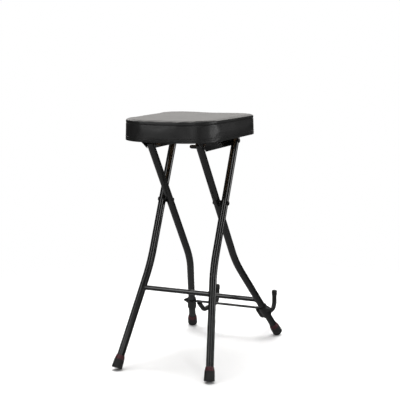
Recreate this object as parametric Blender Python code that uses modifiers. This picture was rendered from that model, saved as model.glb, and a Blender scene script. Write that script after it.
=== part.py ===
"""Folding stool with a padded seat, a footrest and a fold-out cradle for an instrument.

Metres, +Z up. The sitter faces -Y, and the origin is on the floor under the middle
of the stool. The pieces are laid out from the line where the two leg frames cross,
and the whole stool is then moved to its origin. Each leg frame is flat: its upper
legs run parallel and its lower legs splay sideways.
"""

import math

import bmesh
import bpy
from mathutils import Matrix, Vector

# Clearances.
fit_gap = 0.0003
cut_overrun = 0.004

# Leg tubes and the two leg frames.
tube_radius = 0.011
tube_wall = 0.0015
pivot_height = 0.480
front_lean_angle = math.radians(24.9)
rear_lean_angle = math.radians(34.1)
inner_half_width = 0.0780
rail_thickness = 0.0022
front_foot_half_width = 0.150
rear_foot_half_width = 0.156
front_bend_height = 0.299
rear_bend_height = 0.271
leg_bend_length = 0.090
tube_end_above_rivet = 0.010

# Rubber feet, square to their legs, and the coloured collars on top of them.
foot_radius = 0.0158
foot_waist_radius = 0.0153
foot_top_radius = 0.0148
foot_waist_height = 0.016
foot_height = 0.0275
foot_rim = 0.0016
foot_press = 0.0006
foot_sole = 0.0045
collar_height = 0.0122
collar_lip = 0.0009
collar_lip_height = 0.0012

# Plugs in the upper tube ends.
plug_dome = 0.003
plug_spigot_length = 0.0045
plug_spigot_radius = 0.0090

# Cross tubes.
footrest_height = 0.2302
footrest_radius = 0.0071
crossbar_height = 0.1327
crossbar_radius = 0.0075
bar_wall = 0.0012

# Rivets.
rivet_radius = 0.004
rivet_head_radius = 0.0070
rivet_head_height = 0.0024
rivet_end_radius = 0.0062
rivet_end_height = 0.0020
spacer_radius = 0.0085
spacer_thickness = 0.0021

# Seat rails, the pins that they rest on and the fold.
hinge_height = 0.658
rail_below_hinge = 0.0145
rail_past_pin = 0.0365
rail_front_slope = 0.044
rail_front_nose = 0.006
rail_past_hinge = 0.0294
rail_rear_slope = 0.020
rail_flange_width = 0.0222
rail_bend_radius = 0.0035
pin_head_radius = 0.0078
pin_head_height = 0.0028
pin_head_edge = 0.0012
pin_thread_length = 0.0100
pin_cap_radius = 0.0056
pin_cap_length = 0.0205
fold_limit_angle = math.radians(52.0)
seat_turn_ratio = 2.1
slot_clearance = 0.0005

# Seat board and cushion.
board_above_hinge = 0.0185
board_thickness = 0.012
seat_past_pin = 0.1015
seat_past_hinge = 0.0894
seat_front_half_width = 0.134
seat_rear_half_width = 0.1573
seat_front_corner_radius = 0.074
seat_rear_corner_radius = 0.077
seat_edge_bow = 0.009
seat_long_edge_radius = 0.560
cover_thickness = 0.0045
cushion_draw_in = 0.0030
cushion_bottom_round = 0.0060
cushion_side_bulge = 0.0010
cushion_middle_height = 0.028
cushion_side_height = 0.0500
cushion_rim_height = 0.0560
cushion_rim_inset = 0.0036
cushion_edge_height = 0.0588
cushion_edge_inset = 0.0115
cushion_shoulder_height = 0.0603
cushion_shoulder_inset = 0.034
cushion_crown_height = 0.0614
cushion_crown_inset = 0.066

# Fold-out cradle on the rear frame.
rod_radius = 0.004
rod_height = 0.1005
arm_half_spacing = 0.1045
arm_drop = 0.0400
arm_slope_angle = math.radians(40.0)
arm_front_bend_radius = 0.030
arm_run_end = 0.159
arm_rear_bend_radius = 0.023
arm_top_height = 0.119
sleeve_radius = 0.0075
sleeve_start = 0.0115
arm_cap_radius = 0.0088
arm_cap_length = 0.018
arm_cap_cover = 0.004
bush_radius = 0.0142
bush_above_rod = 0.0105
bush_below_rod = 0.0320
bush_edge = 0.0012
bush_boss_radius = 0.0098
bush_boss_reach = 0.0290
bush_tip_radius = 0.0026
bush_tip_round = 0.0014
rod_end_cover = 0.0085

# Facets.
leg_sides = 16
bar_sides = 12
turned_steps = 20
small_steps = 16
bend_pieces = 7
arm_slope_pieces = 3
arm_bend_pieces = 5
rail_bend_pieces = 4
seat_corner_pieces = 5
slot_steps = 60

# Derived sizes.
outer_half_width = inner_half_width + 2 * tube_radius + rail_thickness + 2 * fit_gap
rivet_bore_radius = rivet_radius + fit_gap
rail_inner_x = inner_half_width + tube_radius + fit_gap
rail_outer_x = rail_inner_x + rail_thickness
rod_y = (pivot_height - rod_height) * math.tan(rear_lean_angle)
hinge_y = (hinge_height - pivot_height) * math.tan(front_lean_angle)
pin_y = -(hinge_height - pivot_height) * math.tan(rear_lean_angle)
board_bottom_height = hinge_height + board_above_hinge
rail_top_height = board_bottom_height - fit_gap
rail_bottom_height = hinge_height - rail_below_hinge
rail_front = rail_past_pin - pin_y
rail_rear = hinge_y + rail_past_hinge
seat_front = seat_past_pin - pin_y
seat_rear = hinge_y + seat_past_hinge


# Scene, collections, materials.
for stale in list(bpy.data.objects):
    bpy.data.objects.remove(stale, do_unlink=True)

stool = bpy.data.collections.new("guitar_stool")
bpy.context.scene.collection.children.link(stool)


def finish(name, colour, roughness, metallic=0.0):
    """A plain Principled material."""
    made = bpy.data.materials.new(name)
    made.use_nodes = True
    shader = made.node_tree.nodes["Principled BSDF"]
    shader.inputs["Base Color"].default_value = (*colour, 1.0)
    shader.inputs["Roughness"].default_value = roughness
    shader.inputs["Metallic"].default_value = metallic
    return made


black_paint = finish("black_powder_coat", (0.012, 0.012, 0.013), 0.32)
black_vinyl = finish("black_vinyl", (0.018, 0.018, 0.019), 0.42)
black_rubber = finish("black_rubber", (0.016, 0.016, 0.016), 0.70)
red_plastic = finish("dark_red_plastic", (0.16, 0.015, 0.025), 0.45)
black_plastic = finish("black_plastic", (0.015, 0.015, 0.015), 0.50)
black_zinc = finish("black_zinc", (0.05, 0.05, 0.052), 0.35, 1.0)
bare_wood = finish("birch_plywood", (0.45, 0.30, 0.17), 0.65)


# Tools.
def show(obj, material):
    """Puts a finished piece in the stool's collection."""
    obj.data.materials.clear()
    obj.data.materials.append(material)
    if obj.name not in stool.objects:
        stool.objects.link(obj)
    return obj


def mesh_object(name, shape):
    """An object from a bmesh, outside any collection that renders."""
    mesh = bpy.data.meshes.new(name)
    bmesh.ops.recalc_face_normals(shape, faces=shape.faces)
    shape.to_mesh(mesh)
    shape.free()
    obj = bpy.data.objects.new(name, mesh)
    stool.objects.link(obj)
    return obj


def settle(obj):
    """Replaces an object's mesh by its evaluated one, in world space, without modifiers."""
    bpy.context.view_layer.update()
    graph = bpy.context.evaluated_depsgraph_get()
    mesh = bpy.data.meshes.new_from_object(obj.evaluated_get(graph))
    mesh.transform(obj.matrix_world)
    name = obj.name
    bpy.data.objects.remove(obj, do_unlink=True)
    made = bpy.data.objects.new(name, mesh)
    stool.objects.link(made)
    return made


def weld(obj):
    """Joins the loose caps of a mesh that came from a curve, and turns its faces out."""
    shape = bmesh.new()
    shape.from_mesh(obj.data)
    bmesh.ops.remove_doubles(shape, verts=shape.verts, dist=fit_gap / 10)
    bmesh.ops.recalc_face_normals(shape, faces=shape.faces)
    shape.to_mesh(obj.data)
    shape.free()
    return obj


def path_curve(name, points, radius, sides, caps=True):
    """A round bar swept along points."""
    curve = bpy.data.curves.new(name, "CURVE")
    curve.dimensions = "3D"
    curve.bevel_depth = radius
    curve.bevel_resolution = (sides - 4) // 2
    curve.use_fill_caps = caps
    spline = curve.splines.new("POLY")
    spline.points.add(len(points) - 1)
    for slot, point in zip(spline.points, points):
        slot.co = (*point, 1.0)
    obj = bpy.data.objects.new(name, curve)
    stool.objects.link(obj)
    return obj


def bar(name, points, radius, sides):
    """A solid round bar as a welded mesh."""
    return weld(settle(path_curve(name, points, radius, sides)))


def pipe(name, points, radius, wall, sides):
    """A round tube with a real wall and open ends."""
    obj = weld(settle(path_curve(name, points, radius, sides, caps=False)))
    shell = obj.modifiers.new("wall", "SOLIDIFY")
    shell.thickness = wall
    shell.offset = -1.0
    shell.use_even_offset = True
    obj = settle(obj)
    return weld(obj)


def combine(obj, other, operation):
    """Cuts or joins one mesh with another, which is used up."""
    step = obj.modifiers.new(operation.lower(), "BOOLEAN")
    step.operation = operation
    step.solver = "EXACT"
    step.object = other
    made = settle(obj)
    bpy.data.objects.remove(other, do_unlink=True)
    return made


def cut(obj, cutter):
    return combine(obj, cutter, "DIFFERENCE")


def join(obj, other):
    return combine(obj, other, "UNION")


def cross_bore(obj, centre, radius, half_length):
    """Drills a hole along X."""
    side = Vector((half_length, 0, 0))
    middle = Vector(centre)
    return cut(obj, bar("bore", [middle - side, middle + side], radius, small_steps))


def turned(name, profile, origin, direction, steps):
    """Turns a profile of (radius, height) pairs, top to bottom, about a direction."""
    mesh = bpy.data.meshes.new(name)
    count = len(profile)
    edges = [(i, i + 1) for i in range(count - 1)]
    if profile[0][0] > 0:
        edges.append((count - 1, 0))
    mesh.from_pydata([(radius, 0, height) for radius, height in profile], edges, [])
    obj = bpy.data.objects.new(name, mesh)
    stool.objects.link(obj)
    screw = obj.modifiers.new("turn", "SCREW")
    screw.steps = steps
    screw.render_steps = steps
    screw.use_merge_vertices = True
    screw.merge_threshold = fit_gap / 10
    screw.use_smooth_shade = False
    turn = Vector((0, 0, 1)).rotation_difference(Vector(direction)).to_matrix().to_4x4()
    obj.matrix_world = Matrix.Translation(Vector(origin)) @ turn
    return weld(settle(obj))


def plate(name, outline, half_thickness, placing):
    """A flat outline in XY, thickened both ways, then placed by a matrix."""
    curve = bpy.data.curves.new(name, "CURVE")
    curve.dimensions = "2D"
    curve.fill_mode = "BOTH"
    curve.extrude = half_thickness
    spline = curve.splines.new("POLY")
    spline.points.add(len(outline) - 1)
    for slot, point in zip(spline.points, outline):
        slot.co = (*point, 0.0, 1.0)
    spline.use_cyclic_u = True
    obj = bpy.data.objects.new(name, curve)
    stool.objects.link(obj)
    obj.matrix_world = placing
    return weld(settle(obj))


def mirrored(obj, name):
    """The left-hand copy of a right-hand piece."""
    shape = bmesh.new()
    shape.from_mesh(obj.data)
    bmesh.ops.transform(shape, matrix=Matrix.Scale(-1, 4, (1, 0, 0)), verts=shape.verts)
    bmesh.ops.reverse_faces(shape, faces=shape.faces)
    return mesh_object(name, shape)


def pair(obj, name, material):
    """Shows a right-hand piece and its mirrored left-hand copy."""
    obj.name = name + "_right"
    left = mirrored(obj, name + "_left")
    return [show(obj, material), show(left, material)]


# The plane of YZ outlines: outline X is world Y, outline Y is world Z.
side_plane = Matrix(((0, 0, 1, 0), (1, 0, 0, 0), (0, 1, 0, 0), (0, 0, 0, 1)))


def side_plate(name, outline, inner_x, outer_x):
    """A plate whose outline is given in Y and Z, between two X places."""
    middle = Matrix.Translation(((inner_x + outer_x) / 2, 0, 0))
    return plate(name, outline, (outer_x - inner_x) / 2, middle @ side_plane)


# Leg frames: each is laid out in its own plane. lean_sign is +1 where the frame's
# feet are in front of the crossing and -1 where they are behind it.
class Frame:
    """One leaning leg frame, right-hand leg."""

    def __init__(self, lean_angle, lean_sign, half_width, foot_half_width, bend_height):
        self.lean = lean_sign * math.tan(lean_angle)
        self.half_width = half_width
        self.foot_half_width = foot_half_width
        self.bend_height = bend_height

    def y_at(self, height):
        return (height - pivot_height) * self.lean

    def x_at(self, height):
        """The leg's centre beside the crossing plane, its bend taken as sharp."""
        below = max(0.0, self.bend_height - height) / self.bend_height
        return self.half_width + (self.foot_half_width - self.half_width) * below

    def point(self, height):
        return Vector((self.x_at(height), self.y_at(height), height))

    def upper(self):
        """The direction up the straight upper leg."""
        return Vector((0, self.lean, 1)).normalized()

    def lower(self):
        """The direction up the splayed lower leg."""
        return (self.point(self.bend_height) - self.point(0)).normalized()

    def foot_rise(self):
        """How far up the leg's line the foot's square end lies, its rim on the floor."""
        way = self.lower()
        tip = math.sqrt(1 - way.z**2)
        rim_drop = (foot_radius - foot_rim) * tip + foot_rim - foot_press
        return rim_drop / way.z - foot_rim

    def foot_end(self):
        return self.point(0) + self.lower() * self.foot_rise()

    def path(self):
        """The leg's centre line from its top end to its foot, with a round bend."""
        top = self.point(hinge_height) + self.upper() * tube_end_above_rivet
        corner = self.point(self.bend_height)
        end = self.foot_end() + self.lower() * foot_sole
        bend = rounded_corner(corner, self.upper(), -self.lower(), leg_bend_length, bend_pieces)
        return [top] + bend + [end]


def rounded_corner(corner, before, after, length, pieces):
    """Points along a round bend of a given length at a corner between two directions."""
    turn = before.angle(-after)
    bend = math.pi - turn if turn > math.pi / 2 else turn
    radius = length / bend
    reach = radius * math.tan(bend / 2)
    start = corner + before * reach
    middle_way = (before + after).normalized()
    centre = corner + middle_way * (radius / math.cos(bend / 2))
    spoke = start - centre
    axis = spoke.cross(after).normalized()
    turns = [Matrix.Rotation(bend * i / pieces, 3, axis) for i in range(pieces + 1)]
    return [centre + turn @ spoke for turn in turns]


front = Frame(front_lean_angle, 1, outer_half_width, front_foot_half_width, front_bend_height)
rear = Frame(rear_lean_angle, -1, inner_half_width, rear_foot_half_width, rear_bend_height)
pivot = Vector((0, 0, pivot_height))
hinge = Vector((0, hinge_y, hinge_height))
pin = Vector((0, pin_y, hinge_height))


def leg(name, frame, bores):
    """A bent leg tube with its cross bores."""
    tube = pipe(name, frame.path(), tube_radius, tube_wall, leg_sides)
    for centre, radius in bores:
        middle = Vector((frame.x_at(centre.z), centre.y, centre.z))
        tube = cross_bore(tube, middle, radius, tube_radius + cut_overrun)
    return tube


def plug(name, frame):
    """A domed plastic plug in a tube's upper end."""
    end = frame.point(hinge_height) + frame.upper() * (tube_end_above_rivet + fit_gap)
    profile = [
        (0, plug_dome),
        (tube_radius / 2, plug_dome * 0.86),
        (tube_radius - tube_wall, plug_dome * 0.5),
        (tube_radius, 0),
        (plug_spigot_radius, 0),
        (plug_spigot_radius, -plug_spigot_length),
        (0, -plug_spigot_length),
    ]
    return turned(name, profile, end, frame.upper(), turned_steps)


def foot(name, frame):
    """A flared rubber foot on a tube's end, its rounded rim pressed flat on the floor."""
    bore = tube_radius + fit_gap
    floor_of_bore = foot_sole - fit_gap
    profile = [
        (0, floor_of_bore),
        (bore, floor_of_bore),
        (bore, foot_height),
        (foot_top_radius, foot_height),
        (foot_waist_radius, foot_waist_height),
        (foot_radius, foot_rim),
        (foot_radius - foot_rim * 0.09, foot_rim * 0.59),
        (foot_radius - foot_rim * 0.3, foot_rim * 0.3),
        (foot_radius - foot_rim * 0.59, foot_rim * 0.09),
        (foot_radius - foot_rim, 0),
        (0, 0),
    ]
    obj = turned(name, profile, frame.foot_end(), frame.lower(), turned_steps)
    shape = bmesh.new()
    shape.from_mesh(obj.data)
    whole = shape.verts[:] + shape.edges[:] + shape.faces[:]
    down = Vector((0, 0, -1))
    flat = bmesh.ops.bisect_plane(
        shape, geom=whole, plane_co=(0, 0, 0), plane_no=down, clear_outer=True
    )
    rim = [item for item in flat["geom_cut"] if isinstance(item, bmesh.types.BMEdge)]
    bmesh.ops.contextual_create(shape, geom=rim)
    bmesh.ops.recalc_face_normals(shape, faces=shape.faces)
    shape.to_mesh(obj.data)
    shape.free()
    return obj


def collar(name, frame):
    """The coloured cone between a foot and the bare tube."""
    bore = tube_radius + fit_gap
    bottom = foot_height + fit_gap
    top = bottom + collar_height
    profile = [
        (bore, top),
        (bore + collar_lip, top),
        (foot_top_radius, bottom + collar_lip_height),
        (foot_top_radius, bottom),
        (bore, bottom),
    ]
    return turned(name, profile, frame.foot_end(), frame.lower(), turned_steps)


def coped_bar(name, frame, height, radius):
    """A cross tube whose ends are saddle-cut to the legs that it is welded to."""
    reach = frame.x_at(height)
    ends = [Vector((side * reach, frame.y_at(height), height)) for side in (-1, 1)]
    tube = pipe(name, ends, radius, bar_wall, bar_sides)
    for side in (-1, 1):
        centre = ends[(side + 1) // 2]
        along = frame.lower()
        along.x *= side
        along *= 4 * tube_radius
        post = bar("cope", [centre - along, centre + along], tube_radius + fit_gap, leg_sides)
        tube = cut(tube, post)
    return tube


def rivet_profile(grip):
    """A rivet with a domed head and a smaller formed end, top to bottom."""
    end = -grip
    return [
        (0, rivet_head_height),
        (rivet_head_radius * 0.6, rivet_head_height * 0.86),
        (rivet_head_radius * 0.92, rivet_head_height * 0.4),
        (rivet_head_radius, 0),
        (rivet_radius, 0),
        (rivet_radius, end),
        (rivet_end_radius, end),
        (rivet_end_radius * 0.9, end - rivet_end_height * 0.5),
        (rivet_end_radius * 0.55, end - rivet_end_height * 0.9),
        (0, end - rivet_end_height),
    ]


def pin_profile(length):
    """A pin with a low chamfered head, top to bottom."""
    return [
        (0, pin_head_height),
        (pin_head_radius - pin_head_edge, pin_head_height),
        (pin_head_radius, pin_head_height - pin_head_edge),
        (pin_head_radius, 0),
        (rivet_radius, 0),
        (rivet_radius, -length),
        (0, -length),
    ]


out_x = Vector((1, 0, 0))
in_x = Vector((-1, 0, 0))
parts = {"front": [], "rear": [], "seat": [], "cradle": []}

# Front frame: outer legs, whose feet are in front.
outer_face = outer_half_width + tube_radius + fit_gap
inner_face = inner_half_width - tube_radius - fit_gap
front_leg = leg("front_leg", front, [(hinge, rivet_bore_radius), (pivot, rivet_bore_radius)])
parts["front"] += pair(front_leg, "front_leg", black_paint)
parts["front"] += pair(plug("plug", front), "front_leg_plug", black_plastic)
parts["front"] += pair(foot("foot", front), "front_foot", black_rubber)
parts["front"] += pair(collar("collar", front), "front_foot_collar", red_plastic)
footrest = coped_bar("footrest_bar", front, footrest_height, footrest_radius)
parts["front"].append(show(footrest, black_paint))

# Crossing rivets: domed head outside the outer leg, spacer between the legs.
pivot_rivet = turned(
    "rivet",
    rivet_profile(outer_face - inner_face),
    pivot + out_x * outer_face,
    out_x,
    small_steps,
)
parts["front"] += pair(pivot_rivet, "pivot_rivet", black_zinc)
between = (inner_half_width + outer_half_width) / 2
spacer_profile = [
    (rivet_bore_radius, spacer_thickness / 2),
    (spacer_radius, spacer_thickness / 2),
    (spacer_radius, -spacer_thickness / 2),
    (rivet_bore_radius, -spacer_thickness / 2),
]
spacer = turned("spacer", spacer_profile, pivot + out_x * between, out_x, small_steps)
parts["front"] += pair(spacer, "pivot_spacer", black_plastic)

# Hinge rivets: the outer leg tops carry the rear of the seat rails.
hinge_rivet = turned(
    "rivet",
    rivet_profile(outer_face - rail_inner_x + fit_gap),
    hinge + out_x * outer_face,
    out_x,
    small_steps,
)
parts["front"] += pair(hinge_rivet, "seat_hinge_rivet", black_zinc)

# Rear frame: inner legs, whose feet are behind.
rod_centre = Vector((0, rod_y, rod_height))
rod_bore_radius = rod_radius + fit_gap
rear_bores = [(pin, rivet_bore_radius), (pivot, rivet_bore_radius), (rod_centre, rod_bore_radius)]
rear_leg = leg("rear_leg", rear, rear_bores)
parts["rear"] += pair(rear_leg, "rear_leg", black_paint)
parts["rear"] += pair(plug("plug", rear), "rear_leg_plug", black_plastic)
parts["rear"] += pair(foot("foot", rear), "rear_foot", black_rubber)
parts["rear"] += pair(collar("collar", rear), "rear_foot_collar", red_plastic)
crossbar = coped_bar("rear_crossbar", rear, crossbar_height, crossbar_radius)
parts["rear"].append(show(crossbar, black_paint))

# Seat pins: each passes through an inner leg top and the slot of a rail, and ends in a
# long domed cap on the inner side.
pin_head_face = rail_outer_x + fit_gap
seat_pin = turned(
    "pin",
    pin_profile(pin_head_face - inner_face + pin_thread_length),
    pin + out_x * pin_head_face,
    out_x,
    small_steps,
)
parts["rear"] += pair(seat_pin, "seat_pin", black_zinc)
pin_cap_side = pin_cap_length - pin_cap_radius
pin_cap_profile = [
    (0, pin_cap_length),
    (pin_cap_radius * 0.5, pin_cap_side + pin_cap_radius * 0.87),
    (pin_cap_radius * 0.87, pin_cap_side + pin_cap_radius * 0.5),
    (pin_cap_radius, pin_cap_side),
    (pin_cap_radius, 0),
    (rivet_bore_radius, 0),
    (rivet_bore_radius, pin_thread_length + fit_gap),
    (0, pin_thread_length + fit_gap),
]
pin_cap = turned("cap", pin_cap_profile, pin + out_x * inner_face, in_x, small_steps)
parts["rear"] += pair(pin_cap, "seat_pin_cap", black_plastic)


# Seat rails.
def swing(point, centre, angle):
    """Turns a point about an X axis through a centre."""
    return centre + Matrix.Rotation(angle, 3, "X") @ (point - centre)


def pin_seen_from_seat(fold_angle):
    """Where the pin is, in the seat's own frame, when the rear frame has turned by an angle."""
    moved = swing(pin, pivot, -fold_angle)
    return swing(moved, hinge, seat_turn_ratio * fold_angle)


def slot_path():
    """The pin's way out of the rail, until it is clear of the lower edge."""
    points = [pin_seen_from_seat(0)]
    for i in range(1, slot_steps + 1):
        place = pin_seen_from_seat(fold_limit_angle * i / slot_steps)
        points.append(place)
        if place.z < rail_bottom_height - 2 * rivet_radius:
            break
    return points


def rail_section():
    """The angle section in XZ: a web beside the legs and a flange under the board."""
    top = rail_top_height
    outer, inner = rail_outer_x, rail_inner_x
    flange = outer - rail_flange_width
    under = top - rail_thickness
    inside_radius = rail_bend_radius - rail_thickness
    section = [(flange, top)]
    centre_x, centre_z = outer - rail_bend_radius, top - rail_bend_radius
    for i in range(rail_bend_pieces + 1):
        angle = math.pi / 2 * (1 - i / rail_bend_pieces)
        across, up = rail_bend_radius * math.cos(angle), rail_bend_radius * math.sin(angle)
        section.append((centre_x + across, centre_z + up))
    section += [(outer, rail_bottom_height), (inner, rail_bottom_height)]
    for i in range(rail_bend_pieces + 1):
        angle = math.pi / 2 * i / rail_bend_pieces
        across, up = inside_radius * math.cos(angle), inside_radius * math.sin(angle)
        section.append((centre_x + across, centre_z + up))
    section.append((flange, under))
    return section


def seat_rail():
    """A pressed steel angle with a sloped nose, an open pin slot and a hinge hole."""
    length = rail_front + rail_rear
    standing = Matrix(((1, 0, 0, 0), (0, 0, -1, 0), (0, 1, 0, 0), (0, 0, 0, 1)))
    middle = Matrix.Translation((0, (rail_rear - rail_front) / 2, 0))
    rail = plate("rail", rail_section(), length / 2, middle @ standing)
    low = rail_bottom_height - cut_overrun
    wide_in = rail_outer_x - rail_flange_width - cut_overrun
    wide_out = rail_outer_x + cut_overrun
    drop = rail_top_height - rail_bottom_height - rail_front_nose
    over = cut_overrun * rail_front_slope / drop
    nose = [
        (-rail_front - cut_overrun, low),
        (-rail_front + rail_front_slope + over, low),
        (-rail_front, rail_top_height - rail_front_nose),
        (-rail_front - cut_overrun, rail_top_height - rail_front_nose),
    ]
    rail = cut(rail, side_plate("nose", nose, wide_in, wide_out))
    over = cut_overrun * rail_rear_slope / drop
    heel = [
        (rail_rear + cut_overrun, low),
        (rail_rear + cut_overrun, rail_top_height - rail_front_nose),
        (rail_rear, rail_top_height - rail_front_nose),
        (rail_rear - rail_rear_slope - over, low),
    ]
    rail = cut(rail, side_plate("heel", heel, wide_in, wide_out))
    web = Vector(((rail_inner_x + rail_outer_x) / 2, 0, 0))
    slot_radius = rivet_radius + slot_clearance
    rail = cross_bore(rail, web + pin, slot_radius, rail_thickness + cut_overrun)
    way = [web + Vector((0, place.y, place.z)) for place in slot_path()]
    rail = cut(rail, bar("slot", way, slot_radius, leg_sides))
    return cross_bore(rail, web + hinge, rivet_bore_radius, rail_thickness + cut_overrun)


parts["seat"] += pair(seat_rail(), "seat_rail", black_paint)


# Seat board and cushion.
def arc_points(corner, before, after, radius, pieces):
    """Points and outward normals along a rounded corner of a flat outline."""
    back = (before - corner).normalized()
    ahead = (after - corner).normalized()
    half = back.angle(ahead) / 2
    centre = corner + (back + ahead).normalized() * (radius / math.sin(half))
    first = (corner + back * (radius / math.tan(half)) - centre).normalized()
    last = (corner + ahead * (radius / math.tan(half)) - centre).normalized()
    sweep = first.angle(last)
    found = []
    for i in range(pieces + 1):
        share = i / pieces
        from_first = first * math.sin((1 - share) * sweep)
        from_last = last * math.sin(share * sweep)
        normal = (from_first + from_last) / math.sin(sweep)
        found.append((centre + normal * radius, normal))
    return found


def seat_outline():
    """The seat's plan, anticlockwise: points on its edge with their outward normals."""
    front_y = seat_edge_bow - seat_front
    rear_y = seat_rear - seat_edge_bow
    front_radius, rear_radius = seat_front_corner_radius, seat_rear_corner_radius
    corners = [
        (Vector((0, -seat_front)), seat_long_edge_radius, 2),
        (Vector((seat_front_half_width, front_y)), front_radius, seat_corner_pieces),
        (Vector((seat_rear_half_width, rear_y)), rear_radius, seat_corner_pieces),
        (Vector((0, seat_rear)), seat_long_edge_radius, 2),
        (Vector((-seat_rear_half_width, rear_y)), rear_radius, seat_corner_pieces),
        (Vector((-seat_front_half_width, front_y)), front_radius, seat_corner_pieces),
    ]
    found = []
    count = len(corners)
    for i, (corner, radius, pieces) in enumerate(corners):
        before = corners[i - 1][0]
        after = corners[(i + 1) % count][0]
        found += arc_points(corner, before, after, radius, pieces)
    return found


edge = seat_outline()


def inset_outline(inset):
    return [point - normal * inset for point, normal in edge]


board_inset = cover_thickness + fit_gap
board_middle = Matrix.Translation((0, 0, board_bottom_height + board_thickness / 2))
board = plate("seat_board", inset_outline(board_inset), board_thickness / 2, board_middle)
parts["seat"].append(show(board, bare_wood))


def cushion_form():
    """Rings of a coarse cage from the underside to the crown, smoothed by subdivision."""
    bottom = board_bottom_height
    rings = [
        (cushion_draw_in + cover_thickness, bottom),
        (cushion_draw_in, bottom),
        (0, bottom + cushion_bottom_round),
        (-cushion_side_bulge, bottom + cushion_middle_height),
        (0, bottom + cushion_side_height),
        (cushion_rim_inset, bottom + cushion_rim_height),
        (cushion_edge_inset, bottom + cushion_edge_height),
        (cushion_shoulder_inset, bottom + cushion_shoulder_height),
        (cushion_crown_inset, bottom + cushion_crown_height),
    ]
    shape = bmesh.new()
    rows = []
    for inset, height in rings:
        rows.append([shape.verts.new((point.x, point.y, height)) for point in inset_outline(inset)])
    count = len(edge)
    for below, above in zip(rows, rows[1:]):
        for i in range(count):
            j = (i + 1) % count
            shape.faces.new((below[i], below[j], above[j], above[i]))
    middle_y = (seat_rear - seat_front) / 2
    crown = shape.verts.new((0, middle_y, bottom + cushion_crown_height))
    base = shape.verts.new((0, middle_y, bottom))
    for i in range(count):
        j = (i + 1) % count
        shape.faces.new((rows[-1][i], rows[-1][j], crown))
        shape.faces.new((rows[0][j], rows[0][i], base))
    crease = shape.edges.layers.float.new("crease_edge")
    for i in range(count):
        rim = shape.edges.get((rows[1][i], rows[1][(i + 1) % count]))
        rim[crease] = 1.0
    obj = mesh_object("cushion", shape)
    smooth = obj.modifiers.new("smooth", "SUBSURF")
    smooth.levels = 1
    smooth.render_levels = 1
    return weld(settle(obj))


cushion = cushion_form()
pocket_low = board_bottom_height - cut_overrun
pocket_high = board_bottom_height + board_thickness + fit_gap
pocket_middle = Matrix.Translation((0, 0, (pocket_low + pocket_high) / 2))
pocket = plate("pocket", inset_outline(cover_thickness), (pocket_high - pocket_low) / 2, pocket_middle)
cushion = cut(cushion, pocket)
cushion.name = "seat_cushion"
parts["seat"].append(show(cushion, black_vinyl))


# Cradle: a rod across the rear legs with two arms that reach back and turn up.
def arm_path(start=0.0, end_height=arm_top_height):
    """The right arm's centre line, from a distance along its slope to its upper end."""
    x = arm_half_spacing
    low = rod_height - arm_drop
    slope = arm_slope_angle
    radius = arm_front_bend_radius
    sloped_drop = arm_drop - radius * (1 - math.cos(slope))
    bend_y = rod_y + sloped_drop / math.tan(slope)
    start_y = rod_y + start * math.cos(slope)
    start_z = rod_height - start * math.sin(slope)
    points = [Vector((x, start_y, start_z))]
    for i in range(arm_slope_pieces + 1):
        angle = slope * (1 - i / arm_slope_pieces)
        y = bend_y + radius * (math.sin(slope) - math.sin(angle))
        z = low + radius * (1 - math.cos(angle))
        points.append(Vector((x, y, z)))
    radius = arm_rear_bend_radius
    bend_y = rod_y + arm_run_end - radius
    for i in range(arm_bend_pieces + 1):
        angle = math.pi / 2 * i / arm_bend_pieces
        y = bend_y + radius * math.sin(angle)
        z = low + radius * (1 - math.cos(angle))
        points.append(Vector((x, y, z)))
    points.append(Vector((x, rod_y + arm_run_end, end_height)))
    return points


rod_reach = rear.x_at(rod_height) + bush_boss_reach - rod_end_cover
rod_ends = [rod_centre - out_x * rod_reach, rod_centre + out_x * rod_reach]
yoke = bar("cradle_yoke", rod_ends, rod_radius, bar_sides)
arm = bar("arm", arm_path(), rod_radius, bar_sides)
other_arm = mirrored(arm, "other_arm")
yoke = join(yoke, arm)
yoke = join(yoke, other_arm)
yoke.name = "cradle_yoke"
parts["cradle"].append(show(yoke, black_paint))

# Rubber sleeves on the arms, closed by caps.
sleeve_top = arm_top_height - arm_cap_length + arm_cap_cover
sleeve_wall = sleeve_radius - rod_radius - fit_gap
sleeve = pipe("sleeve", arm_path(sleeve_start, sleeve_top), sleeve_radius, sleeve_wall, bar_sides)
parts["cradle"] += pair(sleeve, "cradle_sleeve", black_rubber)
cap_bottom = sleeve_top + fit_gap
cap_side = arm_cap_length - arm_cap_radius / 2
cap_profile = [
    (0, arm_cap_length),
    (arm_cap_radius * 0.5, arm_cap_length - arm_cap_radius * 0.08),
    (arm_cap_radius * 0.87, arm_cap_length - arm_cap_radius * 0.28),
    (arm_cap_radius, cap_side),
    (arm_cap_radius, 0),
    (rod_radius + fit_gap, 0),
    (rod_radius + fit_gap, arm_top_height - cap_bottom + fit_gap),
    (0, arm_top_height - cap_bottom + fit_gap),
]
cap_base = Vector((arm_half_spacing, rod_y + arm_run_end, cap_bottom))
arm_cap = turned("cap", cap_profile, cap_base, (0, 0, 1), small_steps)
parts["cradle"] += pair(arm_cap, "cradle_cap", black_rubber)


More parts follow.
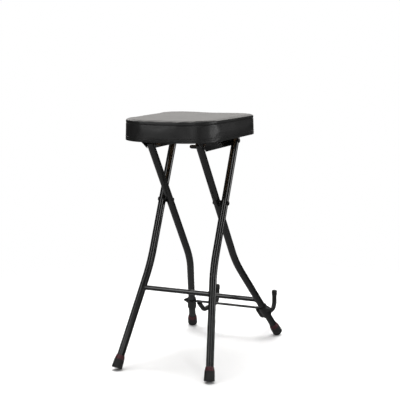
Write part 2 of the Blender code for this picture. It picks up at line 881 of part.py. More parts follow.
# Bushes: a collar on each rear leg with a pointed boss outside that covers the rod's end.
def bush():
    centre = rear.point(rod_height)
    up = rear.lower()
    around_profile = [
        (0, bush_above_rod),
        (bush_radius - bush_edge, bush_above_rod),
        (bush_radius, bush_above_rod - bush_edge),
        (bush_radius, bush_edge - bush_below_rod),
        (bush_radius - bush_edge, -bush_below_rod),
        (0, -bush_below_rod),
    ]
    around = turned("bush", around_profile, centre, up, turned_steps)
    boss_profile = [
        (0, bush_boss_reach),
        (bush_tip_radius - bush_tip_round, bush_boss_reach),
        (bush_tip_radius, bush_boss_reach - bush_tip_round),
        (bush_boss_radius, bush_radius * 0.9),
        (bush_boss_radius, 0),
        (0, 0),
    ]
    around = join(around, turned("boss", boss_profile, centre, out_x, small_steps))
    low_end = centre - up * (bush_below_rod + cut_overrun)
    high_end = centre + up * (bush_above_rod + cut_overrun)
    around = cut(around, bar("leg_bore", [low_end, high_end], tube_radius + fit_gap, turned_steps))
    inner_end = centre - out_x * (bush_radius + cut_overrun)
    outer_end = centre + out_x * (bush_boss_reach - rod_end_cover + fit_gap)
    return cut(around, bar("rod_bore", [inner_end, outer_end], rod_bore_radius, small_steps))


parts["rear"] += pair(bush(), "cradle_bush", black_plastic)


# Joint axes: the pieces that move hang from empties on their axes.
def axis_empty(name, place):
    empty = bpy.data.objects.new(name, None)
    empty.empty_display_size = 3 * tube_radius
    empty.location = place
    stool.objects.link(empty)
    return empty


def carry(empty, pieces):
    bpy.context.view_layer.update()
    for piece in pieces:
        piece.parent = empty
        piece.matrix_parent_inverse = empty.matrix_world.inverted()


whole = axis_empty("stool", Vector((0, 0, 0)))
fold_axis = axis_empty("frame_fold_axis", pivot)
seat_axis = axis_empty("seat_fold_axis", hinge)
cradle_axis = axis_empty("cradle_fold_axis", rod_centre)
carry(fold_axis, parts["rear"])
carry(seat_axis, parts["seat"])
carry(cradle_axis, parts["cradle"])
carry(fold_axis, [cradle_axis])
carry(whole, parts["front"] + [fold_axis, seat_axis])

# The origin is under the middle, between the fronts of the front feet's lines on the floor
# and the cradle's ends.
foot_way = front.lower()
foot_edge = foot_radius * math.sqrt(1 - foot_way.x**2) / foot_way.z
front_edge = front.y_at(0) - foot_edge
rear_edge = rod_y + arm_run_end + arm_cap_radius
whole.location.y = -(front_edge + rear_edge) / 2

# Round pieces are shaded smooth, with their edges kept sharp.
for pieces in parts.values():
    for piece in pieces:
        piece.data.shade_smooth()
        piece.data.set_sharp_from_angle(angle=math.radians(32))
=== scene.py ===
"""A folding stool with a padded seat, a footrest and a fold-out cradle, dressed round its frame.

Metres, +Z up. The sitter faces -Y and the origin is on the floor under the middle. The
sections follow the stool as it is put together, and each makes the right-hand piece first.
"""

import math

import bmesh
import bpy
from mathutils import Matrix, Vector


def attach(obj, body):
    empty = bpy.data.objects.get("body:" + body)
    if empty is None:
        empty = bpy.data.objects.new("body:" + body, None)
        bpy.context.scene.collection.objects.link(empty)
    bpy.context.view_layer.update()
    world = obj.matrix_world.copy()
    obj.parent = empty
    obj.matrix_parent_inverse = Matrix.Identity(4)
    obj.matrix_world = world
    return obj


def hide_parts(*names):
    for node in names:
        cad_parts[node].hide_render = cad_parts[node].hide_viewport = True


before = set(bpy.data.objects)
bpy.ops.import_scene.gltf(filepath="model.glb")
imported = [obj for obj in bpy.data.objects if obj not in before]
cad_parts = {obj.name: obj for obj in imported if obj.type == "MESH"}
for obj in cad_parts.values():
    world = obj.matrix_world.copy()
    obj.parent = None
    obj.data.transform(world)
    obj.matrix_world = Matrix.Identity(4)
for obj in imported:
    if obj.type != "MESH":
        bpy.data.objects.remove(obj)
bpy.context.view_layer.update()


# Leg tubes. Four lengths of 22 mm steel tube, bent once each and powder coated. The outer pair,
# feet in front, is the front frame; the inner pair, feet behind, is the rear frame. Their coat
# is the first finish: a Coat is one surface, and a Tone is a value on its way through its nodes.
class Tone:
    """A value on its way through a finish. Sums and products of tones add Math nodes."""

    def __init__(self, coat, socket):
        self.coat = coat
        self.socket = socket

    def worked(self, operation, first, second):
        return self.coat.node("Math", {"operation": operation}, {0: first, 1: second})

    def __add__(self, other):
        return self.worked("ADD", self, other)

    def __radd__(self, other):
        return self.worked("ADD", other, self)

    def __sub__(self, other):
        return self.worked("SUBTRACT", self, other)

    def __rsub__(self, other):
        return self.worked("SUBTRACT", other, self)

    def __mul__(self, other):
        return self.worked("MULTIPLY", self, other)

    def __rmul__(self, other):
        return self.worked("MULTIPLY", other, self)


class Coat:
    """One finish: a Principled surface and the nodes that vary it."""

    def __init__(self, name, **surface):
        self.material = bpy.data.materials.new(name)
        self.material.use_nodes = True
        self.tree = self.material.node_tree
        self.surface = self.tree.nodes["Principled BSDF"]
        self.place = self.node("TexCoord", out="Object")
        self.give(**surface)

    def node(self, kind, settings=None, sockets=None, out=0):
        """Adds a node: its settings first, then what its sockets take, and returns one output."""
        made = self.tree.nodes.new("ShaderNode" + kind)
        for key, value in (settings or {}).items():
            setattr(made, key, value)
        for key, value in (sockets or {}).items():
            self.feed(made.inputs[key], value)
        return Tone(self, made.outputs[out])

    def feed(self, socket, value):
        if isinstance(value, Tone):
            self.tree.links.new(value.socket, socket)
        else:
            socket.default_value = value

    def give(self, **surface):
        """Sets the surface's sockets; a name such as Base_Color stands for Base Color."""
        for key, value in surface.items():
            self.feed(self.surface.inputs[key.replace("_", " ")], value)

    def grain(self, size, detail=3.0, rough=0.5, stretch=None, warp=0.0):
        """Noise whose features are about this size, from 0 to 1."""
        place = self.place
        if stretch:
            place = self.node("Mapping", None, {"Vector": place, "Scale": stretch})
        return self.node(
            "TexNoise",
            None,
            {"Vector": place, "Scale": 1 / size, "Detail": detail, "Roughness": rough,
             "Distortion": warp},
        )

    def between(self, low, high, share):
        """A number that goes from low to high with a tone from 0 to 1."""
        return share * (high - low) + low

    def step(self, tone, low, high):
        """0 below low, 1 above high."""
        return self.node(
            "MapRange", {"interpolation_type": "SMOOTHSTEP"},
            {"Value": tone, "From Min": low, "From Max": high},
        )

    def mixed(self, first, second, share):
        """A colour between two colours."""
        colours = [(*c, 1.0) if isinstance(c, tuple) else c for c in (first, second)]
        return self.node("Mix", {"data_type": "RGBA"},
                         {0: share, 6: colours[0], 7: colours[1]}, out=2)

    def bumps(self, *layers):
        """Stacks height layers of (tone, depth in metres, strength) on the surface."""
        normal = None
        for height, depth, strength in layers:
            sockets = {"Height": height, "Distance": depth, "Strength": strength}
            if normal:
                sockets["Normal"] = normal
            normal = self.node("Bump", None, sockets)
        self.give(Normal=normal)


def powder_coat(name, scuffs=0.0):
    """Glossy black powder coat: orange peel, faint dust and, where boots rub, fine scuffs."""
    coat = Coat(name, Specular_IOR_Level=0.5, Coat_Roughness=0.06, Coat_Weight=0.35)
    peel = coat.grain(0.0011, 2.0)
    cloud = coat.grain(0.05, 4.0)
    dust = coat.step(coat.grain(0.004, 5.0, 0.7), 0.60, 0.78) * coat.step(cloud, 0.45, 0.7)
    scratch = coat.step(coat.grain(0.0016, 3.0, 0.6, stretch=(0.12, 1.0, 1.0)), 0.62, 0.70)
    rubbed = scratch * coat.step(coat.grain(0.03, 2.0), 0.42, 0.62) * scuffs
    base = coat.mixed((0.0018, 0.0018, 0.0020), (0.0034, 0.0033, 0.0032), cloud)
    base = coat.mixed(base, (0.020, 0.019, 0.018), dust * 0.4)
    coat.give(
        Base_Color=coat.mixed(base, (0.040, 0.040, 0.042), rubbed),
        Roughness=coat.between(0.11, 0.18, cloud) + dust * 0.25 + rubbed * 0.2,
    )
    coat.bumps((peel, 0.00003, 0.25), (scratch * rubbed, -0.00004, 0.3))
    return coat.material


black_paint = powder_coat("black_powder_coat")
tube_radius = 0.011
inner_half_width = 0.078
outer_half_width = 0.1028
crossing = Vector((0, -0.092256, 0.480))
hinge_height = 0.658
tube_past_rivet = 0.010
leg_bend_length = 0.090
leg_bend_steps = 18
foot_radius = 0.0158
foot_rim = 0.0016
foot_press = 0.0006
foot_sole = 0.0045
out_x = Vector((1, 0, 0))
far_point = (0.713, 1.171, 2.319)


def begin(name):
    """An empty mesh at the origin, open for editing, with nothing else selected."""
    bpy.ops.object.select_all(action="DESELECT")
    bpy.ops.object.add(type="MESH")
    piece = bpy.context.object
    piece.name = piece.data.name = name
    bpy.ops.object.mode_set(mode="EDIT")
    bpy.ops.mesh.select_mode(type="VERT")
    return piece


def ring(centre, along, radius, sides=48, fill="NOTHING"):
    """A circle round a direction, left selected."""
    facing = Vector(along).to_track_quat("Z", "Y").to_euler()
    bpy.ops.mesh.primitive_circle_add(
        vertices=sides, radius=radius, fill_type=fill, location=centre, rotation=facing
    )


def pull(move):
    """Extrudes what is selected by a vector."""
    bpy.ops.mesh.extrude_region_move(TRANSFORM_OT_translate={"value": tuple(move)})


def bend(centre, axis, angle, steps):
    """Carries the selected ring round a bend."""
    bpy.ops.mesh.spin(steps=steps, angle=-angle, center=centre, axis=axis)


def done():
    """Turns the faces out, numbers all by place, so that runs agree, and leaves edit mode."""
    bpy.ops.mesh.select_all(action="SELECT")
    bpy.ops.mesh.normals_make_consistent(inside=False)
    bpy.context.scene.cursor.location = far_point
    bpy.ops.mesh.sort_elements(type="CURSOR_DISTANCE", elements={"VERT", "EDGE", "FACE"})
    bpy.context.scene.cursor.location = (0, 0, 0)
    bpy.ops.object.mode_set(mode="OBJECT")


def shut(merge=0.00001):
    """Merges doubles, closes the open ends and is done with the mesh."""
    bpy.ops.mesh.select_all(action="SELECT")
    bpy.ops.mesh.remove_doubles(threshold=merge)
    bpy.ops.mesh.fill_holes(sides=0)
    done()


def only(piece):
    """Selects one piece and makes it active."""
    bpy.ops.object.select_all(action="DESELECT")
    piece.select_set(True)
    bpy.context.view_layer.objects.active = piece


def twin(piece, name):
    """The left-hand copy of a right-hand piece, with its own mesh."""
    only(piece)
    bpy.ops.object.duplicate()
    copy = bpy.context.object
    copy.name = copy.data.name = name
    bpy.ops.object.mode_set(mode="EDIT")
    bpy.ops.mesh.select_all(action="SELECT")
    bpy.ops.transform.resize(value=(-1, 1, 1), center_override=(0, 0, 0))
    done()
    return copy


def fit(piece, finish, body, slot, *nodes, crease=32):
    """Finishes a piece, hangs it on its body and lets it stand for its solids."""
    piece.data.materials.clear()
    piece.data.materials.append(finish)
    only(piece)
    bpy.ops.object.shade_smooth_by_angle(angle=math.radians(crease))
    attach(piece, body)
    if nodes:
        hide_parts(*nodes)


def fit_pair(piece, finish, body, slot, stem=None, crease=32):
    """Fits a right-hand piece and its left-hand twin, for the nodes STEM_right and STEM_left."""
    left = twin(piece, piece.name + "_left")
    piece.name = piece.data.name = piece.name + "_right"
    for half, side in ((piece, "_right"), (left, "_left")):
        nodes = [stem + side] if stem else []
        fit(half, finish, body, slot, *nodes, crease=crease)


class LegLine:
    """Where a right-hand leg runs, from its top to its foot."""

    def __init__(self, lean, half_width, foot_half_width, bend_height):
        self.lean = lean
        self.half_width = half_width
        self.foot_half_width = foot_half_width
        self.bend_height = bend_height
        self.up = Vector((0, lean, 1)).normalized()
        self.low_up = (self.at(bend_height) - self.at(0)).normalized()

    def at(self, height):
        """The centre line's place at a height, with the bend taken as sharp."""
        below = max(0.0, self.bend_height - height) / self.bend_height
        x = self.half_width + (self.foot_half_width - self.half_width) * below
        return Vector((x, crossing.y + (height - crossing.z) * self.lean, height))

    def foot_end(self):
        """The middle of the foot's square end, whose rim is pressed flat on the floor."""
        way = self.low_up
        tip = math.sqrt(1 - way.z**2)
        drop = (foot_radius - foot_rim) * tip + foot_rim - foot_press
        return self.at(0) + way * (drop / way.z - foot_rim)


front_line = LegLine(lean=math.tan(math.radians(24.9)), half_width=outer_half_width,
                     foot_half_width=0.150, bend_height=0.299)
rear_line = LegLine(lean=-math.tan(math.radians(34.1)), half_width=inner_half_width,
                    foot_half_width=0.156, bend_height=0.271)
frames = (("front", front_line, "front_frame"), ("rear", rear_line, "rear_frame"))


def leg(name, line):
    """Draws a leg tube from its top down: straight, round the bend, and out to the foot."""
    top = line.at(hinge_height) + line.up * tube_past_rivet
    corner = line.at(line.bend_height)
    down = -line.low_up
    turn = math.pi - line.up.angle(down)
    radius = leg_bend_length / turn
    start = corner + line.up * radius * math.tan(turn / 2)
    centre = corner + (line.up + down).normalized() * radius / math.cos(turn / 2)
    axis = (start - centre).cross(down).normalized()
    piece = begin(name)
    ring(top, line.up, tube_radius)
    pull(start - top)
    bend(centre, axis, turn, leg_bend_steps)
    bend_end = centre + Matrix.Rotation(turn, 3, axis) @ (start - centre)
    pull(line.foot_end() + line.low_up * foot_sole - bend_end)
    shut()
    return piece


for stem, line, body in frames:
    fit_pair(leg(stem + "_tube", line), black_paint, body, "black_paint", stem + "_leg")


# Plugs in the upper tube ends. They are moulded in black plastic, with a low dome and a thin
# rim, and are pressed into the tubes' tops.
def moulded_plastic(name, low=0.22, high=0.34):
    """Black moulded plastic: satin gloss with a faint flow pattern."""
    coat = Coat(name, Specular_IOR_Level=0.5)
    flow = coat.grain(0.012, 3.0, 0.5, stretch=(1.0, 1.0, 0.4), warp=0.6)
    coat.give(
        Base_Color=coat.mixed((0.0030, 0.0030, 0.0032), (0.0055, 0.0055, 0.0057), flow),
        Roughness=coat.between(low, high, flow),
    )
    coat.bumps((coat.grain(0.0007, 2.0), 0.00004, 0.25), (flow, 0.0001, 0.15))
    return coat.material


black_plastic = moulded_plastic("black_moulded_plastic")


def turned(name, stations, foot_point, along, sides=48):
    """Draws a round solid up from its first circle: stations are (radius, height) pairs."""
    least_radius = 0.00002
    along = Vector(along).normalized()
    foot_point = Vector(foot_point)
    piece = begin(name)
    radius, height = stations[0]
    radius = max(radius, least_radius)
    ring(foot_point + along * height, along, radius, sides, "NGON")
    for next_radius, next_height in stations[1:]:
        pull(along * (next_height - height))
        height = next_height
        share = max(next_radius, least_radius) / radius
        middle = foot_point + along * height
        bpy.ops.transform.resize(value=(share, share, share), center_override=middle)
        radius = max(next_radius, least_radius)
    shut(merge=0.000001)
    return piece


def rounded(stations, edge, steps=3):
    """Rounds the outer corners of a profile: each station becomes a short run of stations."""
    found = [stations[0]]
    for before, here, after in zip(stations, stations[1:], stations[2:]):
        a = Vector(before) - Vector(here)
        b = Vector(after) - Vector(here)
        reach = min(edge, a.length * 0.45, b.length * 0.45)
        start = Vector(here) + a.normalized() * reach
        end = Vector(here) + b.normalized() * reach
        for i in range(steps + 1):
            t = i / steps
            found.append(tuple(start * (1 - t) ** 2 + Vector(here) * 2 * t * (1 - t) + end * t**2))
    return found + [stations[-1]]


plug_profile = [(0.0, -0.0012), (0.0109, -0.0012), (0.0109, 0.0011), (0.0093, 0.0019),
                (0.0074, 0.0027), (0.0, 0.0033)]
for stem, line, body in frames:
    end = line.at(hinge_height) + line.up * tube_past_rivet
    plug = turned(stem + "_plug", rounded(plug_profile, 0.0006), end, line.up)
    fit_pair(plug, black_plastic, body, "black_plastic", stem + "_leg_plug")


# Feet. They are moulded in black rubber, pushed onto the tubes and flared towards their ends,
# which are square to the legs. Each has a shallow groove above a tread band and a hollow in its
# sole.
def moulded_rubber(name):
    """Black rubber: matt, with a fine moulded tooth and pale dust in patches."""
    coat = Coat(name, Specular_IOR_Level=0.42)
    tooth = coat.grain(0.0006, 4.0, 0.6)
    cloud = coat.grain(0.018, 4.0, 0.6)
    dust = coat.step(cloud, 0.52, 0.74)
    base = coat.mixed((0.0060, 0.0060, 0.0061), (0.0095, 0.0094, 0.0092), cloud)
    coat.give(
        Base_Color=coat.mixed(base, (0.030, 0.029, 0.027), dust * 0.35),
        Roughness=coat.between(0.46, 0.62, cloud) + dust * 0.1,
    )
    coat.bumps((tooth, 0.00008, 0.45), (coat.grain(0.006, 2.0), 0.0002, 0.15))
    return coat.material


black_rubber = moulded_rubber("black_rubber")
foot_profile = [(0.0, 0.0014), (0.0086, 0.0014), (0.0092, 0.0), (0.0142, 0.0),
                (0.0158, 0.0016), (0.01575, 0.0042), (0.01525, 0.0046), (0.01525, 0.0052),
                (0.01565, 0.0056), (0.0153, 0.0160), (0.0148, 0.0272), (0.0113, 0.0275),
                (0.0, 0.0275)]


def foot(name, line):
    """A turned foot, cut level where its rim is pressed on the floor."""
    profile = rounded(foot_profile, 0.0009)
    piece = turned(name, profile, line.foot_end(), line.low_up, 72)
    only(piece)
    bpy.ops.object.mode_set(mode="EDIT")
    bpy.ops.mesh.select_all(action="SELECT")
    bpy.ops.mesh.bisect(plane_co=(0, 0, 0), plane_no=(0, 0, -1), use_fill=True, clear_outer=True,
                        threshold=0.000001)
    bpy.ops.object.mode_set(mode="OBJECT")
    return piece


for stem, line, body in frames:
    fit_pair(foot(stem + "_rubber_foot", line), black_rubber, body, "black_rubber",
             stem + "_foot", crease=40)


# Foot collars. Dark red moulded plastic cones are pushed along the tubes onto the feet's tops,
# and taper to the tubes.
red_coat = Coat("dark_red_plastic", Specular_IOR_Level=0.45)
red_cloud = red_coat.grain(0.008, 3.0)
red_coat.give(
    Base_Color=red_coat.mixed((0.030, 0.0042, 0.0065), (0.052, 0.0060, 0.0100), red_cloud),
    Roughness=red_coat.between(0.32, 0.46, red_cloud),
)
red_coat.bumps((red_coat.grain(0.0007, 2.0), 0.00004, 0.3))
collar_profile = [(0.0, 0.0278), (0.0148, 0.0278), (0.0148, 0.0291), (0.0142, 0.0301),
                  (0.0125, 0.0386), (0.0122, 0.0399), (0.0111, 0.0400), (0.0, 0.0400)]
for stem, line, body in frames:
    profile = rounded(collar_profile, 0.0006)
    cone = turned(stem + "_red_cone", profile, line.foot_end(), line.low_up, 64)
    fit_pair(cone, red_coat.material, body, "red_plastic", stem + "_foot_collar")


# Footrest and rear crossbar. Straight steel tubes, saddle-cut and welded between the legs, then
# coated with them. Each end has a rippled weld bead that follows the saddle.
footrest_paint = powder_coat("black_powder_coat_scuffed", scuffs=1.0)
bar_end_sink = 0.0060
weld_radius, weld_ripples = 0.0017, 18
# Each bar has its name, its legs' line, height, radius, body, node and finish.
bars = [
    ("footrest", front_line, 0.2302, 0.0071, "front_frame", "footrest_bar", footrest_paint),
    ("crossbar", rear_line, 0.1327, 0.0075, "rear_frame", "rear_crossbar", black_paint),
]


def saddle(line, height, radius, side, count=72):
    """Where a bar's surface meets a leg's, as a closed run of points."""
    centre = line.at(height)
    way = line.low_up
    found = []
    for i in range(count):
        angle = 2 * math.pi * i / count
        y, z = radius * math.cos(angle), radius * math.sin(angle)
        # The point is (x, y, z) from the centre, one tube radius from the leg's line.
        a = 1 - way.x**2
        b = -2 * way.x * (way.y * y + way.z * z)
        c = y * y + z * z - (way.y * y + way.z * z) ** 2 - tube_radius**2
        x = (-b - math.sqrt(b * b - 4 * a * c)) / (2 * a)
        found.append(Vector((side * (centre.x + x), centre.y + y, centre.z + z)))
    return found


def bead(name, points, radius, ripples):
    """A weld bead: a rippled round run along a closed line."""
    shape = bpy.data.curves.new(name, "CURVE")
    shape.dimensions = "3D"
    shape.bevel_depth = radius
    shape.bevel_resolution = 3
    line = shape.splines.new("POLY")
    line.points.add(len(points) - 1)
    for i, (slot, point) in enumerate(zip(line.points, points)):
        slot.co = (*point, 1.0)
        slot.radius = 1 + 0.10 * math.cos(2 * math.pi * ripples * i / len(points))
    line.use_cyclic_u = True
    piece = bpy.data.objects.new(name, shape)
    bpy.context.scene.collection.objects.link(piece)
    only(piece)
    bpy.ops.object.convert(target="MESH")
    piece = bpy.context.object
    bpy.ops.object.mode_set(mode="EDIT")
    done()
    return piece


for name, line, height, radius, body, node, finish in bars:
    end = line.at(height) - out_x * bar_end_sink
    rod = begin(name + "_tube")
    ring(end, out_x, radius)
    pull((-2 * end.x, 0, 0))
    shut()
    fit(rod, finish, body, "black_paint", node)
    for side, word in ((1, "right"), (-1, "left")):
        run = saddle(line, height, radius, side)
        weld = bead(name + "_weld_" + word, run, weld_radius, weld_ripples)
        fit(weld, black_paint, body, "black_paint", crease=60)


# Crossing rivets and spacers. Blackened steel rivets hold each outer leg to its inner one: a
# domed head outside, a formed end inside. A black nylon washer keeps the tubes apart.
steel_coat = Coat("blackened_steel", Metallic=1.0, Specular_IOR_Level=0.5)
steel_cloud = steel_coat.grain(0.004, 4.0, 0.6)
steel_coat.give(
    Base_Color=steel_coat.mixed((0.030, 0.030, 0.033), (0.070, 0.068, 0.066), steel_cloud),
    Roughness=steel_coat.between(0.28, 0.46, steel_cloud),
)
steel_coat.bumps((steel_coat.grain(0.0005, 3.0), 0.00004, 0.35))
black_steel = steel_coat.material


def rivet(name, place, head_x, end_x):
    """A rivet along X: a domed head at head_x and a smaller formed end at end_x."""
    grip = head_x - end_x
    profile = [(0.0, -grip - 0.0021), (0.0036, -grip - 0.0019), (0.0055, -grip - 0.0011),
               (0.0062, -grip), (0.0040, -grip), (0.0040, 0.0), (0.0070, 0.0),
               (0.0067, 0.0009), (0.0055, 0.0018), (0.0036, 0.0023), (0.0, 0.0024)]
    return turned(name, rounded(profile, 0.0004, 2), (head_x, place.y, place.z), out_x, 40)


fit_gap = 0.0003
outer_face = outer_half_width + tube_radius + fit_gap
inner_face = inner_half_width - tube_radius - fit_gap
fit_pair(rivet("crossing_rivet", crossing, outer_face, inner_face), black_steel,
         "front_frame", "black_zinc", "pivot_rivet")
washer_hole, washer_edge, washer_half = 0.0042, 0.0085, 0.00105
washer_profile = [(washer_hole, -washer_half), (washer_edge, -washer_half),
                  (washer_edge, washer_half), (washer_hole, washer_half)]
washer_middle = (inner_half_width + outer_half_width) / 2
washer = turned("crossing_washer", rounded(washer_profile, 0.0003),
                (washer_middle, crossing.y, crossing.z), out_x, 40)
fit_pair(washer, black_plastic, "front_frame", "black_plastic", "pivot_spacer")


# Hinge rivets. They are of the same blackened steel, but shorter, and hinge the seat rails on
# the tops of the outer legs.
hinge = front_line.at(hinge_height)
rail_thickness = 0.0022
rail_inner_x = inner_half_width + tube_radius + fit_gap
rail_outer_x = rail_inner_x + rail_thickness
rail_middle_x = rail_inner_x + rail_thickness / 2
fit_pair(rivet("hinge_rivet", hinge, outer_face, rail_inner_x - fit_gap), black_steel,
         "front_frame", "black_zinc", "seat_hinge_rivet")


# Seat pins and their caps. A blackened steel pin with a socket head goes through each inner
# leg's top and the open slot of the rail. A long domed plastic cap is screwed on inside.
pin_place = rear_line.at(hinge_height)
pin_face = rail_outer_x + fit_gap
head_height = 0.0028
pin_profile = [(0.0, -0.035), (0.0040, -0.035), (0.0040, 0.0), (0.0078, 0.0), (0.0078, 0.0017),
               (0.0066, head_height), (0.0034, head_height), (0.0, head_height)]
pin = turned("seat_bolt", rounded(pin_profile, 0.0004, 2), (pin_face, pin_place.y, pin_place.z),
             out_x, 48)


def worked_with(piece, tool, operation="DIFFERENCE", tool_overlaps=False):
    """Cuts a tool's shape out of a piece, or makes the two one. The tool is used up."""
    only(piece)
    step = piece.modifiers.new("step", "BOOLEAN")
    step.operation = operation
    step.solver = "EXACT"
    step.use_self = tool_overlaps
    step.object = tool
    bpy.ops.object.modifier_apply(modifier=step.name)
    bpy.data.objects.remove(tool)


socket_radius, socket_depth = 0.0027, 0.0019
key = turned("key", [(socket_radius, -socket_depth), (socket_radius, socket_depth)],
             (pin_face + head_height, pin_place.y, pin_place.z), out_x, 6)
worked_with(pin, key)
fit_pair(pin, black_steel, "rear_frame", "black_zinc", "seat_pin")
cap_profile = [(0.0042, 0.0), (0.0056, 0.0), (0.0056, 0.0149), (0.0049, 0.0177),
               (0.0028, 0.0198), (0.0, 0.0205)]
cap = turned("bolt_cap", rounded(cap_profile, 0.0009), (inner_face, pin_place.y, pin_place.z),
             -out_x, 40)
fit_pair(cap, black_plastic, "rear_frame", "black_plastic", "seat_pin_cap")


# Cradle. A bent steel rod: the cross rod turns in the rear legs, and two arms welded to it dip,
# run back and turn up. It is coated with the frame.
rod_radius = 0.004
rod_height = 0.1005
rod_centre = Vector((0, rear_line.at(rod_height).y, rod_height))
arm_x = 0.1045
arm_low = rod_height - 0.0400
arm_slope = math.radians(40.0)
arm_end_y = rod_centre.y + 0.159
arm_down = Vector((0, math.cos(arm_slope), -math.sin(arm_slope)))
arm_top = 0.119
boss_reach, boss_wall = 0.0290, 0.0085


def arm(name, radius, sides, start=0.0, top=arm_top):
    """Draws an arm from the cross rod: down the slope, along and up the end."""
    low_bend, end_bend = 0.030, 0.023
    bend_drop = low_bend * (1 - math.cos(arm_slope))
    first_y = rod_centre.y + (rod_height - arm_low - bend_drop) / math.tan(arm_slope)
    begin_at = Vector((arm_x, rod_centre.y, rod_height)) + arm_down * start
    first = Vector((arm_x, first_y, arm_low + bend_drop))
    centre = Vector((arm_x, first_y + low_bend * math.sin(arm_slope), arm_low + low_bend))
    second = Vector((arm_x, arm_end_y - end_bend, arm_low + end_bend))
    piece = begin(name)
    ring(begin_at, arm_down, radius, sides)
    pull(first - begin_at)
    bend(centre, out_x, arm_slope, 10)
    pull((0, second.y - centre.y, 0))
    bend(second, out_x, math.pi / 2, 18)
    pull((0, 0, top - second.z))
    return piece


cross_reach = rear_line.at(rod_height).x + boss_reach - boss_wall
cross_rod = begin("cradle_cross_rod")
ring(rod_centre + out_x * cross_reach, out_x, rod_radius, 32)
pull((-2 * cross_reach, 0, 0))
shut()
fit(cross_rod, black_paint, "cradle", "black_paint", "cradle_yoke")
bare_arm = arm("cradle_arm", rod_radius, 32)
shut()
fit_pair(bare_arm, black_paint, "cradle", "black_paint")
arm_weld_radius, arm_weld_ripples, arm_weld_points = 0.0012, 11, 48
for side, word in ((1, "right"), (-1, "left")):
    joint = Vector((side * arm_x, rod_centre.y, rod_height))
    run = []
    for i in range(arm_weld_points):
        angle = 2 * math.pi * i / arm_weld_points
        x, w = rod_radius * math.cos(angle), rod_radius * math.sin(angle)
        run.append(joint + out_x * x + out_x.cross(arm_down) * w + arm_down * abs(x))
    weld = bead("arm_weld_" + word, run, arm_weld_radius, arm_weld_ripples)
    fit(weld, black_paint, "cradle", "black_paint", crease=60)


# Sleeves and end caps. Black rubber tube is pushed over each arm, with a rolled end by the cross
# rod and a thick rounded cap on the upper end, so that the cradle can't scratch what it holds.
sleeve_radius, sleeve_start, sleeve_top = 0.0075, 0.0115, 0.105
sleeve = arm("arm_sleeve", sleeve_radius, 40, sleeve_start, sleeve_top)
shut()
fit_pair(sleeve, black_rubber, "cradle", "black_rubber", "cradle_sleeve")
arm_cap_profile = [(0.0, 0.0), (0.0088, 0.0), (0.0088, 0.0136), (0.0077, 0.0164),
                   (0.0046, 0.0178), (0.0, 0.0181)]
arm_cap = turned("arm_cap", rounded(arm_cap_profile, 0.0012),
                 (arm_x, arm_end_y, sleeve_top + fit_gap), (0, 0, 1))
fit_pair(arm_cap, black_rubber, "cradle", "black_rubber", "cradle_cap")


# Bushes. A glossy moulded collar clamps round each rear leg, and its pointed boss outside takes
# the end of the cross rod. Collar and boss are one moulding with a soft fillet between them.
gloss_plastic = moulded_plastic("black_gloss_plastic", 0.13, 0.22)
bush_centre = rear_line.at(rod_height)
bush_profile = [(0.0, -0.0320), (0.0142, -0.0320), (0.0142, 0.0105), (0.0, 0.0105)]
boss_profile = [(0.0, 0.0), (0.0098, 0.0), (0.0098, 0.0128), (0.0028, 0.0284), (0.0, 0.0292)]
bush = turned("rod_bush", bush_profile, bush_centre, rear_line.low_up, 64)
boss = turned("boss", rounded(boss_profile, 0.0012), bush_centre, out_x)
worked_with(bush, boss, "UNION")
skin = bush.modifiers.new("skin", "REMESH")
skin.mode = "VOXEL"
skin.voxel_size = 0.0006
fillet = bush.modifiers.new("fillet", "SMOOTH")
fillet.factor = 0.6
fillet.iterations = 9
for modifier in (skin, fillet):
    bpy.ops.object.modifier_apply(modifier=modifier.name)
fit_pair(bush, gloss_plastic, "rear_frame", "black_plastic", "cradle_bush", crease=60)


# Seat rails. Two pressed steel angles under the board. The web hangs beside the legs, with a
# sloped nose, an open slot that the pin leaves by when the stool folds, and the hinge hole.
rail_front = pin_place.y - 0.0365
rail_rear = hinge.y + 0.0294
board_bottom = hinge_height + 0.0185
rail_top = board_bottom - fit_gap
rail_bottom = hinge_height - 0.0145
flange_width = 0.0222
flange_under = rail_top - rail_thickness
outer_bend, inner_bend = 0.0035, 0.0013
end_edge, nose_reach, tail_reach = 0.006, 0.044, 0.020
slot_radius, hinge_hole = 0.0045, 0.0043
seat_turn_ratio = 2.1


def pick(piece, kind, test):
    """Selects only the points, edges or faces that pass a test, in edit mode."""
    bpy.ops.mesh.select_mode(type=kind)
    bpy.ops.mesh.select_all(action="DESELECT")
    shape = bmesh.from_edit_mesh(piece.data)
    for part in {"VERT": shape.verts, "EDGE": shape.edges, "FACE": shape.faces}[kind]:
        part.select_set(test(part))
    if kind == "VERT":
        shape.select_flush_mode()
    bmesh.update_edit_mesh(piece.data)


def slot_cutter(steps=24, step_degrees=0.45):
    """The pin's way out of the rail, as the frame folds and the seat turns with it."""
    pivot, turning = Vector((0, crossing.y, crossing.z)), Vector((0, hinge.y, hinge.z))
    pin_from = Vector((0, pin_place.y, pin_place.z))
    reach = out_x * 0.004
    cutter = begin("slot_cutter")
    for i in range(steps):
        fold = math.radians(i * step_degrees)
        moved = pivot + Matrix.Rotation(-fold, 3, "X") @ (pin_from - pivot)
        seen = turning + Matrix.Rotation(seat_turn_ratio * fold, 3, "X") @ (moved - turning)
        ring(Vector((rail_middle_x, seen.y, seen.z)) - reach, out_x, slot_radius, 40, "NGON")
        pull(2 * reach)
        if seen.z < rail_bottom - 0.008:
            break
    bpy.ops.object.mode_set(mode="OBJECT")
    return cutter


def soften(piece, width, angle=35):
    """Rounds a piece's sharp edges."""
    only(piece)
    edge = piece.modifiers.new("edge", "BEVEL")
    edge.width = width
    edge.segments = 2
    edge.angle_limit = math.radians(angle)
    edge.use_clamp_overlap = True
    bpy.ops.object.modifier_apply(modifier=edge.name)


